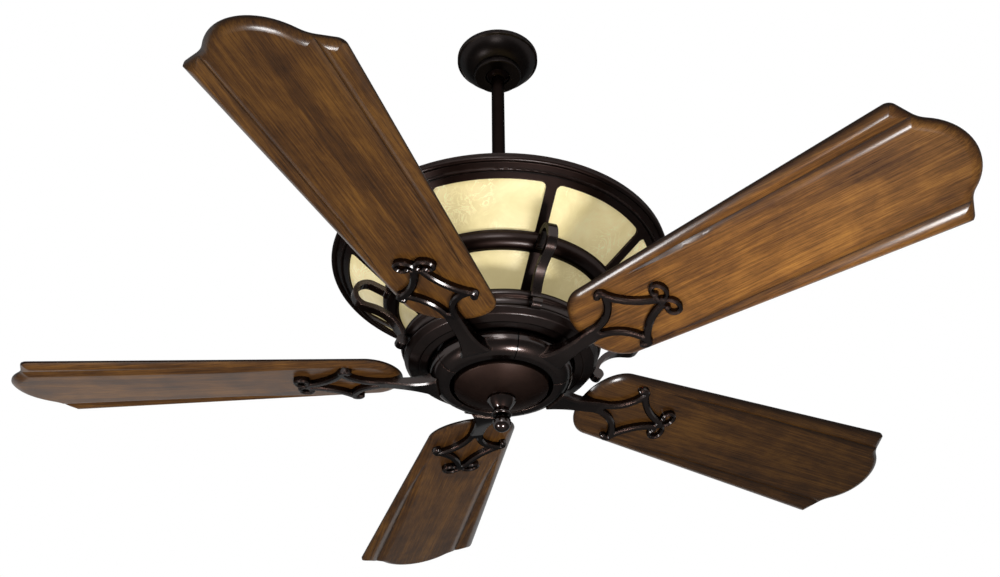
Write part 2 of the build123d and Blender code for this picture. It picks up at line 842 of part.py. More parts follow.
def window_outline(top_radius, foot_radius, corner, azimuth):
    """Outline of one window with rounded corners between two ribs."""
    middle_radius = (top_radius + foot_radius) / 2
    top_turn = radians(rib_step / 2) - asin(rib_width / 2 / top_radius)
    foot_turn = radians(rib_step / 2) - asin(rib_width / 2 / foot_radius)
    with BuildSketch(window_plane(middle_radius, azimuth)) as window:
        with BuildLine():
            head = ThreePointArc(
                window_point(top_radius, middle_radius, -top_turn),
                window_point(top_radius, middle_radius, 0),
                window_point(top_radius, middle_radius, top_turn),
            )
            foot = ThreePointArc(
                window_point(foot_radius, middle_radius, foot_turn),
                window_point(foot_radius, middle_radius, 0),
                window_point(foot_radius, middle_radius, -foot_turn),
            )
            Line(head @ 1, foot @ 0)
            Line(foot @ 1, head @ 0)
        make_face()
        fillet(window.vertices().group_by(Axis.Y)[-1], corner)
        fillet(window.vertices().group_by(Axis.Y)[0], window_foot_corner)
    return window.sketch


with BuildPart() as bowl_cage:
    with BuildSketch(hub_section):
        with BuildLine():
            Line((cage_head_r, cage_head_height), (band_top_radius, cone_height(band_top_radius)))
            ThreePointArc(
                (band_top_radius, cone_height(band_top_radius)),
                band_apex,
                (band_foot_radius, cone_height(band_foot_radius)),
            )
            Polyline(
                (band_foot_radius, cone_height(band_foot_radius)),
                (cage_foot_radius, cage_foot_height),
                (cage_flange_radius, cage_foot_height),
                (cage_flange_radius, flange_top),
                (cage_foot_radius - cage_inner_shift + cage_flange_gauge / tan(radians(bowl_slope)), flange_top),
                (cage_head_r - cage_inner_shift, cage_head_height),
                (cage_head_r, cage_head_height),
            )
        make_face()
    revolve(axis=Axis.Z)
    for index in range(rib_count):
        middle = rib_turn + (index + 0.5) * rib_step
        for outline in (
            window_outline(window_top_radius, band_top_radius + band_margin, window_corner_radius, middle),
            window_outline(band_foot_radius - band_margin, lower_window_radius, window_foot_corner, middle),
        ):
            extrude(outline, amount=cut_depth, both=True, mode=Mode.SUBTRACT)
    with BuildSketch(Plane.XY.offset(hub_z + flange_top)):
        with PolarLocations(cage_screw_circle, cover_screw_count):
            Circle(cover_screw_radius + fit_gap)
    extrude(amount=-cage_flange_gauge, mode=Mode.SUBTRACT)
save(bowl_cage, "bowl_cage")

rim_start = cage_collar
rim_bead_end = rim_start + rim_bead
rim_band_end = rim_bead_end + rim_band
rim_edge = rim_band_end + rim_roll
rim_outer_r, rim_edge_height = rim_point(rim_edge, 0)
rim_top_height = rim_edge_height + rim_lip
with BuildPart() as bowl_rim:
    with BuildSketch(hub_section):
        with BuildLine():
            ThreePointArc(
                rim_point(rim_start, 0),
                rim_point(rim_start + rim_bead / 2, rim_bead_height),
                rim_point(rim_bead_end, rim_band_height),
            )
            Line(rim_point(rim_bead_end, rim_band_height), rim_point(rim_band_end, rim_band_height))
            ThreePointArc(
                rim_point(rim_band_end, rim_band_height),
                rim_point(rim_band_end + rim_roll / 2, rim_roll_height),
                rim_point(rim_edge, 0),
            )
            Polyline(
                rim_point(rim_edge, 0),
                (rim_outer_r, rim_top_height),
                (rim_outer_r - rim_wall, rim_top_height),
                (cage_head_r - cage_inner_shift, cage_head_height),
                rim_point(rim_start, 0),
            )
        make_face()
    revolve(axis=Axis.Z)
save(bowl_rim, "bowl_rim")


def glass_panel(top_height, foot_height):
    """One bent pane that lies inside the cage, between the middles of two ribs."""
    near = cage_gauge + glass_seat
    far = near + glass_gauge
    arc = rib_step - degrees(glass_gap / cone_radius(foot_height, far))
    with BuildPart() as pane:
        with BuildSketch(section_at(-arc / 2)):
            with BuildLine():
                Polyline(
                    (cone_radius(top_height, near), top_height),
                    (cone_radius(foot_height, near), foot_height),
                    (cone_radius(foot_height, far), foot_height),
                    (cone_radius(top_height, far), top_height),
                    close=True,
                )
            make_face()
        revolve(axis=Axis.Z, revolution_arc=arc)
    return pane


pane_split = cone_height(band_mid_r, cage_gauge)
upper_pane = glass_panel(cage_head_height - fit_gap, pane_split + glass_gap / 2)
pane_foot = cone_height(lower_window_radius - glass_overlap, cage_gauge)
lower_pane = glass_panel(pane_split - glass_gap / 2, pane_foot)
save_turned_copies(upper_pane, "upper_glass", rib_count, rib_turn + rib_step / 2)
save_turned_copies(lower_pane, "lower_glass", rib_count, rib_turn + rib_step / 2)

# Scroll brackets: a flat strap with a foot curl on the housing and a loop that ends on the band
end_r = band_apex[0] + (scroll_end_radius + fit_gap) * slope_sin
end_height = band_apex[1] - (scroll_end_radius + fit_gap) * slope_cos
foot_r = housing_ledge_radius + fit_gap + scroll_foot_radius
foot_lead = Vector(1, 0).rotate(Axis.Z, scroll_foot_lead)
loop_lead = Vector(1, 0).rotate(Axis.Z, scroll_foot_lead - scroll_bend_arc)
strap_base = Vector(foot_r - scroll_foot_radius + scroll_strap / 2, scroll_foot_height)
strap_start = strap_base + foot_lead * scroll_foot_radius
with BuildPart() as scroll_bracket:
    with BuildSketch(hub_section.offset(-scroll_width / 2)):
        with BuildLine():
            bend = JernArc(strap_start, foot_lead, scroll_bend_radius, -scroll_bend_arc)
            run = Line(bend @ 1, bend @ 1 + loop_lead * scroll_run)
            loop_centre = run @ 1 + loop_lead.rotate(Axis.Z, 90) * scroll_loop_radius
            end_away = Vector(end_r, end_height) - loop_centre
            tangent_turn = degrees(acos(scroll_loop_radius / end_away.length))
            end_turn = degrees(atan2(end_away.Y, end_away.X)) - tangent_turn
            loop_start = scroll_foot_lead - scroll_bend_arc - 90
            loop = CenterArc(loop_centre, scroll_loop_radius, loop_start, (end_turn - loop_start) % 360)
            Line(loop @ 1, (end_r, end_height))
        trace(line_width=scroll_strap)
        with Locations((foot_r, scroll_foot_height)):
            Circle(scroll_foot_radius)
        with Locations((end_r, end_height)):
            Circle(scroll_end_radius)
    extrude(amount=scroll_width)
save_turned_copies(scroll_bracket, "scroll_bracket", scroll_count, rib_turn)

# Lamps
lamp_turn = rib_turn + rib_step / 2
plate_top = housing_top + lamp_plate_gauge
with BuildPart() as lamp_plate:
    with BuildSketch(Plane.XY.offset(hub_z + housing_top)):
        Circle(lamp_plate_outer)
        Circle(cover_boss_radius + fit_gap, mode=Mode.SUBTRACT)
    extrude(amount=lamp_plate_gauge)
save(lamp_plate, "lamp_plate")

with BuildPart() as lamp_sockets:
    with BuildSketch(Plane.XY.offset(hub_z + plate_top)):
        with PolarLocations(lamp_circle_radius, lamp_count, start_angle=lamp_turn):
            Circle(socket_radius)
    extrude(amount=socket_height)
    with BuildSketch(Plane.XY.offset(hub_z + plate_top + socket_floor)):
        with PolarLocations(lamp_circle_radius, lamp_count, start_angle=lamp_turn):
            Circle(socket_bore_radius)
    extrude(amount=socket_height, mode=Mode.SUBTRACT)
save(lamp_sockets, "lamp_sockets")

bulb_base_height = socket_height - socket_floor
with BuildPart() as bulb:
    with BuildSketch(Plane.XZ):
        with BuildLine():
            Polyline((0, 0), (bulb_base_radius, 0), (bulb_base_radius, bulb_base_height))
            Spline(
                (bulb_base_radius, bulb_base_height),
                (bulb_radius, bulb_base_height + (bulb_length - bulb_base_height) * bulb_swell_share),
                (0, bulb_length),
                tangents=((0.2, 1), (-1, 0.1)),
            )
            Line((0, bulb_length), (0, 0))
        make_face()
    revolve(axis=Axis.Z)

with BuildPart() as bulbs:
    with Locations((0, 0, hub_z + plate_top + socket_floor)):
        with PolarLocations(lamp_circle_radius, lamp_count, start_angle=lamp_turn):
            add(bulb.part)
save(bulbs, "bulbs")

# Blade irons: a sector of the hub ring, an arm that turns to the blade's pitch, and an open scrolled plate
sector_arc = pitch_step - degrees(iron_gap / iron_ring_radius)
flange_foot = rotor_bottom - iron_wall
ring_low = Vector(iron_ring_flat_radius, iron_ring_bottom)
ring_high = Vector(iron_ring_radius, iron_ring_shoulder)
ring_out = (ring_high - ring_low).normalized().rotate(Axis.Z, -90)


def arm_plane(radius, bottom, depth, twist):
    """Cross-section plane of the arm, turned about the arm by part of the blade's pitch."""
    turn = radians(blade_pitch * twist)
    middle = hub_z + bottom + depth / 2
    return Plane(origin=(radius, 0, middle), x_dir=(0, cos(turn), -sin(turn)), z_dir=(1, 0, 0))


def arm_outline(plane, width, depth):
    """Cross-section of the arm: a rectangle with its two lower edges bevelled."""
    side = width / 2
    with BuildSketch(plane) as section:
        with BuildLine():
            Polyline(
                (-side, depth / 2),
                (side, depth / 2),
                (side, iron_edge - depth / 2),
                (side - iron_edge, -depth / 2),
                (iron_edge - side, -depth / 2),
                (-side, iron_edge - depth / 2),
                close=True,
            )
        make_face()
    return section.sketch


def swept_bar(path, width):
    """Bevelled bar that follows a path at the plate's mid-depth."""
    lead = path % 0
    section = arm_outline(Plane(origin=path @ 0, x_dir=blade_up.cross(lead), z_dir=lead), width, iron_depth)
    with BuildPart() as bar:
        sweep(section, path=path)
    return bar.part


def arc_bar(start, end, side, lead):
    """Bar along an arc that leaves its start at a lead angle from lengthwise and bends towards its end."""
    run = end[0] - start[0]
    reach = side * (end[1] - start[1])
    half_turn = degrees(atan2(reach, abs(run))) - lead
    radius = hypot(run, reach) / (2 * sin(radians(half_turn)))
    first = side * (copysign(lead, run) - 90)
    with BuildLine(iron_middle) as path:
        CenterArc(point_round(start, -radius, first), radius, first, copysign(2 * half_turn, run) * side)
    return swept_bar(path.wire(), iron_bar)


def stud(place, radius):
    """Round boss of the plate with a bevelled lower edge."""
    with BuildPart() as boss:
        with BuildSketch(iron_plane):
            with Locations(place):
                Circle(radius)
        extrude(amount=iron_depth)
        chamfer(boss.faces().sort_by(Axis((0, 0, 0), blade_up))[0].edges(), iron_edge)
    return boss.part


def half_plate(side):
    """Bars, corner crook and end scroll of one half of the plate."""
    corner = (iron_corner_r, side * iron_corner_reach)
    crook_start = degrees(2 * atan2(iron_corner_reach - iron_fork_reach, iron_corner_r - iron_fork_r)) - 90
    crook_centre = point_round(corner, -iron_crook_radius, side * crook_start)
    crook_end = point_round(crook_centre, iron_crook_radius, side * (crook_start + iron_crook_arc))
    eye_start = side * (iron_scroll_arc - 90)
    eye_end = eye_start + side * iron_eye_arc
    scroll_centre = (iron_joint_r, side * iron_scroll_radius)
    eye_centre = point_round(scroll_centre, iron_scroll_radius - iron_eye_radius, eye_start)
    with BuildLine(iron_middle) as crook:
        CenterArc(crook_centre, iron_crook_radius, side * crook_start, side * iron_crook_arc)
    with BuildLine(iron_middle) as scroll:
        CenterArc(scroll_centre, iron_scroll_radius, -90 * side, side * iron_scroll_arc)
        CenterArc(eye_centre, iron_eye_radius, eye_start, side * iron_eye_arc)
    return [
        arc_bar((iron_fork_r, side * iron_fork_reach), corner, side, 0),
        arc_bar((iron_joint_r, side * iron_joint_reach), corner, side, iron_joint_lead),
        swept_bar(scroll.wire(), iron_scroll_bar),
        swept_bar(crook.wire(), iron_crook_bar),
        stud(crook_end, iron_crook_ball),
        stud(point_round(eye_centre, iron_eye_radius, eye_end), iron_eye_ball),
    ]


blade_screw_spots = (
    (iron_corner_r, iron_corner_reach),
    (iron_corner_r, -iron_corner_reach),
    (iron_joint_r, 0),
)

arm = [arm_outline(arm_plane(radius, bottom, depth, twist), width, depth)
       for radius, width, bottom, depth, twist in arm_sections]
fork_place = blade_plane.from_local_coords((iron_fork_r, 0, -iron_depth / 2))
fork_plane = Plane(origin=fork_place, x_dir=blade_plane.y_dir, z_dir=blade_along)
arm.append(arm_outline(fork_plane, 2 * iron_fork_reach + iron_bar, iron_depth))
plate = half_plate(1) + half_plate(-1) + [
    stud((iron_joint_r, 0), iron_joint_radius),
    stud((iron_fork_r + iron_web_run, 0), iron_web_radius),
]

with BuildPart() as iron_master:
    with BuildSketch(section_at(-sector_arc / 2)):
        with BuildLine():
            Polyline(
                (iron_ring_hole_radius, iron_ring_bottom + iron_wall),
                (iron_ring_hole_radius, iron_ring_bottom),
                (iron_ring_flat_radius, iron_ring_bottom),
            )
            ThreePointArc(
                (iron_ring_flat_radius, iron_ring_bottom),
                (ring_low + ring_high) / 2 + ring_out * iron_ring_swell,
                (iron_ring_radius, iron_ring_shoulder),
            )
            Polyline(
                (iron_ring_radius, iron_ring_shoulder),
                (iron_ring_radius, rotor_bottom),
                (iron_flange_radius, rotor_bottom),
                (iron_flange_radius, flange_foot),
                (iron_ring_radius - 2 * iron_wall, flange_foot),
                (iron_ring_radius - 2 * iron_wall, iron_ring_shoulder - iron_wall),
                (iron_ring_flat_radius - iron_wall, iron_ring_bottom + iron_wall),
                (iron_ring_hole_radius, iron_ring_bottom + iron_wall),
            )
        make_face()
    revolve(axis=Axis.Z, revolution_arc=sector_arc)
    loft(arm)
    add(plate)
    with BuildSketch(iron_plane.offset(iron_depth)):
        with Locations(*blade_screw_spots):
            Circle(blade_screw_radius + slip_gap)
    extrude(amount=-blade_screw_bite - slip_gap, mode=Mode.SUBTRACT)
    with BuildSketch(Plane.XY.offset(hub_z + rotor_bottom)):
        for side in (1, -1):
            with Locations(point_round((0, 0), iron_screw_circle, side * iron_screw_spread / 2)):
                Circle(iron_screw_radius + fit_gap)
    extrude(amount=-iron_wall, mode=Mode.SUBTRACT)
save_turned_copies(iron_master, "blade_iron", blade_count, rotor_turn)

with BuildPart() as iron_screws:
    with BuildSketch(Plane.XY.offset(hub_z + flange_foot)):
        with Locations(*iron_screw_places):
            Circle(iron_screw_head_radius)
    extrude(amount=-iron_screw_head)
    with BuildSketch(Plane.XY.offset(hub_z + flange_foot)):
        with Locations(*iron_screw_places):
            Circle(iron_screw_radius - slip_gap)
    extrude(amount=iron_wall + rotor_plate)
save(iron_screws, "iron_screws")

# Blades: a board with an oval root and a scalloped tip, rounded below and carved by two grooves
half_root = blade_root_width / 2
half_tip = blade_tip_width / 2


def swelled_arc(start, end, swell):
    """Arc between two points of a cutter's section, swelled below the straight line."""
    run = end[0] - start[0]
    rise = end[1] - start[1]
    shift = swell / copysign(hypot(run, rise), run)
    middle = ((start[0] + end[0]) / 2 + shift * rise, (start[1] + end[1]) / 2 - shift * run)
    ThreePointArc(start, middle, end)


def edge_cutter(path):
    """Cutter that rounds the underside along a path on the blade's outline."""
    start = path @ 0
    outward = blade_up.cross(path % 0)
    if outward.dot(start - blade_plane.from_local_coords((blade_root_r, 0))) < 0:
        outward = -outward
    with BuildSketch(Plane(origin=start, x_dir=outward, z_dir=outward.cross(blade_up))) as section:
        with BuildLine():
            swelled_arc((-blade_edge_width, 0), (0, blade_edge_depth), blade_edge_swell)
            Polyline(
                (0, blade_edge_depth),
                (blade_edge_width / 2, blade_edge_depth),
                (blade_edge_width / 2, -blade_edge_depth),
                (-blade_edge_width, -blade_edge_depth),
                (-blade_edge_width, 0),
            )
        make_face()
    with BuildPart() as cutter:
        sweep(section.sketch, path=path)
    return cutter.part


def groove_cutter(side):
    """Cutter of one groove: it climbs from the underside in a flat arc and runs level to the tip."""
    start = blade_plane.from_local_coords((groove_start_r, side * groove_start_reach))
    heading = blade_plane.from_local_coords((tip_r, side * groove_tip_reach)) - start
    lead_radius = (groove_lead ** 2 + groove_depth ** 2) / (2 * groove_depth)
    lead_turn = degrees(asin((groove_lead + groove_overrun) / lead_radius))
    with BuildLine(Plane(origin=start, x_dir=heading, z_dir=heading.cross(blade_up))) as foot_line:
        CenterArc((groove_lead, groove_depth - lead_radius), lead_radius, 90, lead_turn)
        Line((groove_lead, groove_depth), (heading.length, groove_depth))
    path = foot_line.wire()
    ahead = path % 0
    if ahead.dot(heading) < 0:
        ahead = -ahead
    panel_edge = (-side * groove_panel_side, -groove_depth)
    strip_edge = (side * groove_strip_side, -groove_depth)
    with BuildSketch(Plane(origin=path @ 0, x_dir=blade_up.cross(heading), z_dir=ahead)) as section:
        with BuildLine():
            swelled_arc(panel_edge, (0, 0), groove_swell)
            swelled_arc((0, 0), strip_edge, groove_swell)
            Polyline(
                strip_edge,
                (strip_edge[0], -2 * groove_depth),
                (panel_edge[0], -2 * groove_depth),
                panel_edge,
            )
        make_face()
    with BuildPart() as cutter:
        sweep(section.sketch, path=path)
    return cutter.part


with BuildLine() as tip_line:
    crown = JernArc((tip_r, 0), (0, 1), tip_crown_radius, tip_crown_arc)
    scoop = JernArc(crown @ 1, crown % 1, tip_scoop_radius, -tip_scoop_arc)
    scoop_out = scoop % 1
    corner_run = (half_tip - (scoop @ 1).Y) / scoop_out.Y
    tip_corner = scoop @ 1 + scoop_out * corner_run
    Line(scoop @ 1, tip_corner + scoop_out * blade_edge_width)
    mirror(about=Plane.XZ)

side_out = (tip_corner - Vector(blade_root_r, half_root)).normalized()
with BuildLine() as root_line:
    Line((blade_root_r, half_root), tip_corner + side_out * blade_edge_width)
    EllipticalCenterArc((blade_root_r, 0), blade_root_r - blade_nose_r, half_root, 90, arc_size=90)
    mirror(about=Plane.XZ)

edge_cutters = [edge_cutter(blade_plane.location * line.wire()) for line in (tip_line, root_line)]
groove_cutters = [groove_cutter(side) for side in (1, -1)]

with BuildPart() as blade_master:
    with BuildSketch(blade_plane) as outline:
        with BuildLine():
            add([crown, scoop])
            Polyline(scoop @ 1, tip_corner, (blade_root_r, half_root))
            EllipticalCenterArc((blade_root_r, 0), blade_root_r - blade_nose_r, half_root, 90, arc_size=90)
            mirror(about=Plane.XZ)
        make_face()
        corners = outline.vertices().sort_by(Axis.Y)
        fillet([corners[0], corners[-1]], tip_corner_fillet)
    extrude(amount=blade_thickness)
    fillet(blade_master.faces().sort_by(Axis((0, 0, 0), blade_up))[-1].edges(), blade_top_round)
    add(edge_cutters + groove_cutters, mode=Mode.SUBTRACT)
    with BuildSketch(blade_plane):
        with Locations(*blade_screw_spots):
            Circle(blade_screw_radius + fit_gap)
    extrude(amount=blade_thickness, mode=Mode.SUBTRACT)
save_turned_copies(blade_master, "blade", blade_count, rotor_turn)

with BuildPart() as blade_screw_set:
    with BuildSketch(blade_plane.offset(blade_thickness)):
        with Locations(*blade_screw_spots):
            Circle(blade_screw_head_radius)
    extrude(amount=blade_screw_head)
    with BuildSketch(blade_plane.offset(blade_thickness)):
        with Locations(*blade_screw_spots):
            Circle(blade_screw_radius)
    extrude(amount=-blade_thickness - blade_screw_bite)

with BuildPart() as blade_screws:
    for turn in iron_turns:
        with Locations(Location((0, 0, 0), (0, 0, turn))):
            add(blade_screw_set.part)
save(blade_screws, "blade_screws")
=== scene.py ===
"""Finishes, studio stage and camera for a five-blade ceiling fan with a bowl light.

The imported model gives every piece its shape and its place. This file gives each of them its surface.
"""

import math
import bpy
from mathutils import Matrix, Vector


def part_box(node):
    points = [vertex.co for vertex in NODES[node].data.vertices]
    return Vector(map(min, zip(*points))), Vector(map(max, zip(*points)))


bl_info = {
    "name": "Ceiling Fan With Bowl Light",
    "version": (1, 0, 0),
    "blender": (4, 5, 0),
    "location": "3D View > Sidebar > Fan",
    "description": "Finishes every piece of a ceiling fan with a bowl light and sets it in a white studio",
    "category": "Object",
}

import bmesh
import bpy
from bpy.props import FloatProperty, FloatVectorProperty, PointerProperty
from mathutils import Euler, Matrix

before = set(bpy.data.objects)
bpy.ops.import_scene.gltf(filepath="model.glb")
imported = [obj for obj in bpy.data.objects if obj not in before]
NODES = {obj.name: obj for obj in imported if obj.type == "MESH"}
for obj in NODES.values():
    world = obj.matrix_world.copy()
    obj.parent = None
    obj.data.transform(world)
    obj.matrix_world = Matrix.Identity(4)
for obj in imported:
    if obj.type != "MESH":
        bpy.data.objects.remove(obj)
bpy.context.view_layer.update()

# How many blades there are, the first one's angle round the shaft and the one that its own lamp lights
BLADES = 5
FIRST_BLADE = math.radians(31.95)
NEAR_BLADE = "blade_5"

# Which pieces share a finish
SPUN_BRONZE = ("motor_cover", "motor_housing", "rotor_lower", "cap_carrier")
# The canopy and the rod pieces get the same bronze drawn darker, as painted shade
CANOPY_BRONZE = ("canopy", "canopy_trim_ring")
SHADED_BRONZE = ("downrod", "rod_coupling", "hanger_ball")
CAST_BRONZE = ("bowl_cage", "bowl_rim")
DARK_SCREWS = ("canopy_screws", "coupling_screws", "housing_screws", "iron_screws", "blade_screws")
ZINC_STEEL = ("ceiling_bracket", "hanger_pin", "coupling_pin")
GROUND_STEEL = ("motor_shaft", "bearing_inner_races", "bearing_outer_races")

# Colours of the plain finishes
ENAMEL = (0.84, 0.83, 0.79)
PORCELAIN = (0.8, 0.79, 0.74)
WARM_FROST = (0.86, 0.83, 0.76)
PALE_FROST = (0.95, 0.93, 0.88)
ZINC = (0.58, 0.58, 0.6)
STEEL = (0.62, 0.62, 0.63)
ALUMINIUM = (0.56, 0.56, 0.57)
LAMINATED_IRON = (0.25, 0.25, 0.26)
COPPER = (0.62, 0.27, 0.11)
BRONZE_GLINT = (0.3, 0.27, 0.25, 1)
PALE_FLOOR = (0.88, 0.88, 0.87, 1)
WHITE = (1, 1, 1, 1)

# Radii in metres over which sharp edges are shaded round
SOFT_EDGE = 0.0025
IRON_EDGE = 0.004
FINE_EDGE = 0.0004
BLADE_EDGE = 0.006

# Depths in metres of the fine relief on each finish
BRONZE_RELIEF = 0.00005
STEEL_RELIEF = 0.00004
ENAMEL_RELIEF = 0.00004
FROST_RELIEF = 0.00005
WOOD_RELIEF = 0.00014
GLASS_RELIEF = 0.0006

# Wood grain in waves a metre: along the blade, across it and through it
FIGURE_WAVES = (2.6, 22, 16)
STRAND_WAVES = (3.5, 300, 180)
PORE_WAVES = (30, 1000, 560)
FLECK_WAVES = (7, 150, 90)

# Each blade's tone, partly its own plank and partly painted light and shade for how the lamps fall on it, and
# the step from one plank's figure to the next
PLANK_AND_LIGHT_TONES = (0.49, 0.7, 0.74, 0.68, 0.9)
PLANK_STEP = (3.7, 1.3, 2.1)

# The index of refraction that gives the wax and the lacquer their sheen
GLOSS_IOR = 3.0

# Half of the floor's side in metres
FLOOR_REACH = 12

# A Mix node names its sockets alike for every kind of data, so those for colours go by number
MIX_FACTOR = 0
MIX_FIRST = 6
MIX_SECOND = 7
MIX_RESULT = 2


def nodes_named(start):
    """The names of the nodes that begin with a word, in order."""
    return sorted(name for name in NODES if name.startswith(start))


def toned(colour, tone):
    """A colour made paler or darker by a tone."""
    return [part * tone for part in colour]


def colour_property(name, description, default):
    """A colour that a user may change."""
    return FloatVectorProperty(name=name, description=description, subtype="COLOR", size=3,
                               min=0, max=1, default=default)


def share_property(name, description, default):
    """A share from 0 to 1."""
    return FloatProperty(name=name, description=description, subtype="FACTOR", min=0, max=1, default=default)


def place_property(name, description, default):
    """A point in metres."""
    return FloatVectorProperty(name=name, description=description, subtype="TRANSLATION", size=3,
                               default=default)


def length_property(name, description, default):
    """A length in metres."""
    return FloatProperty(name=name, description=description, unit="LENGTH", default=default)


def power_property(name, description, default):
    """The power of a lamp in watts."""
    return FloatProperty(name=name, description=description, unit="POWER", min=0, default=default)


class BronzeSettings(bpy.types.PropertyGroup):
    """Dark oiled bronze on the castings and spinnings, its edges worn and painted lighter."""

    body: colour_property("Body", "Dark brown of the oiled surface", (0.0185, 0.0094, 0.0074))
    cap: colour_property("Cap", "Redder brown of the dome cap", (0.027, 0.0136, 0.01))
    # Edge colour: worn metal, and also a painted highlight that stands in for the shine along the edges
    edge_wear_and_glint: colour_property("Rubbed", "Warm metal that shows where edges are handled", (0.1, 0.076, 0.064))
    roughness: share_property("Roughness", "Softness of the metal's reflections", 0.38)
    wax: share_property("Wax", "Strength of the clear finish over the metal", 0.085)
    wax_roughness: share_property("Wax roughness", "Softness of the clear finish's reflections", 0.24)


class WalnutSettings(bpy.types.PropertyGroup):
    """Stained walnut of the blades."""

    dark: colour_property("Dark", "Late growth and stain in the pores", (0.014, 0.006, 0.003))
    middle: colour_property("Middle", "Common brown of the plank", (0.09, 0.036, 0.0085))
    light: colour_property("Light", "Orange brown of the early growth", (0.25, 0.109, 0.02))
    roughness: share_property("Roughness", "Softness of the wood's reflections", 0.34)


class GlassSettings(bpy.types.PropertyGroup):
    """Tea-stained glass of the bowl."""

    clear: colour_property("Clear", "Cream of the even glass", (0.57, 0.475, 0.235))
    cloud: colour_property("Cloud", "Paler cream of the clouds and veins", (0.86, 0.78, 0.5))
    # Painted glow: the panes give off light of their own, as if lit from inside the bowl
    glow: FloatProperty(name="Glow", description="Daylight that passes through from inside the bowl",
                        default=0.62, min=0, max=2)


class StageSettings(bpy.types.PropertyGroup):
    """Camera, lamps and floor."""

    camera_place: place_property("Camera", "Where the camera stands", (0.003717, -1.554339, -1.600731))
    camera_turn: FloatVectorProperty(name="Turn", description="The camera's pitch up, roll and yaw",
                                     subtype="EULER", size=3,
                                     default=tuple(math.radians(a) for a in (35.727, -0.688, 0.15)))
    lens: FloatProperty(name="Lens", description="Focal length", unit="CAMERA", default=46.292, min=1)
    floor_drop: length_property("Floor", "Floor below the ceiling", 2.6)
    left_lamp: place_property("Left lamp", "Place of the lamp below the left blades", (-0.8, -0.31, -1.62))
    left_power: power_property("Left power", "Watts of the left lamp", 9)
    right_lamp: place_property("Right lamp", "Place of the lamp below the right blades", (0.3, -0.42, -1.8))
    right_power: power_property("Right power", "Watts of the right lamp", 12)
    lamp_size: length_property("Lamp size", "Diameter of the left and right lamps' screens", 0.32)
    front_lamp: place_property("Front lamp", "Place of the lamp above the camera", (-0.1, -1.9, -0.6))
    front_power: power_property("Front power", "Watts of the front lamp", 9)
    front_size: length_property("Front lamp size", "Diameter of the front lamp's screen", 0.7)
    top_lamp: place_property("Top lamp", "Place of the soft lamp over the fan", (0, 0.6, 1.3))
    top_power: power_property("Top power", "Watts of the top lamp", 24)
    top_size: length_property("Top lamp size", "Diameter of the top lamp's screen", 1.6)
    blade_lamp: place_property("Blade lamp", "Place of the narrow lamp under the near blade",
                               (0.42, -0.36, -1.3))
    blade_power: power_property("Blade power", "Watts of the blade lamp", 0.8)
    blade_size: length_property("Blade lamp size", "Diameter of the blade lamp's screen", 0.4)
    blade_spread: FloatProperty(name="Blade spread", description="Opening of the blade lamp's beam",
                                subtype="ANGLE", default=math.radians(50))
    fill: FloatProperty(name="Fill", description="Even light from the whole room", default=0.14, min=0)


class Field:
    """One shader socket. Python's operators on it add Math nodes."""

    def __init__(self, tree, socket):
        self.tree = tree
        self.socket = socket

    def math(self, operation, first, second=0.0, clamp=False):
        settings = {"operation": operation, "use_clamp": clamp}
        return self.tree.node("ShaderNodeMath", settings, {0: first, 1: second})

    def __add__(self, other):
        return self.math("ADD", self, other)

    def __radd__(self, other):
        return self.math("ADD", other, self)

    def __sub__(self, other):
        return self.math("SUBTRACT", self, other)

    def __rsub__(self, other):
        return self.math("SUBTRACT", other, self)

    def __mul__(self, other):
        return self.math("MULTIPLY", self, other)

    def __rmul__(self, other):
        return self.math("MULTIPLY", other, self)

    def __abs__(self):
        return self.math("ABSOLUTE", self)

    def clamp(self):
        return self.math("ADD", self, 0.0, clamp=True)

    def swing(self, width):
        """Noise that lies about a half, made to swing about zero over a width."""
        return (self - 0.5) * width

    def rise(self, low, high):
        """0 below low, 1 above high and smooth between them."""
        return self.tree.node("ShaderNodeMapRange", {"interpolation_type": "SMOOTHSTEP"},
                              {"Value": self, "From Min": low, "From Max": high})


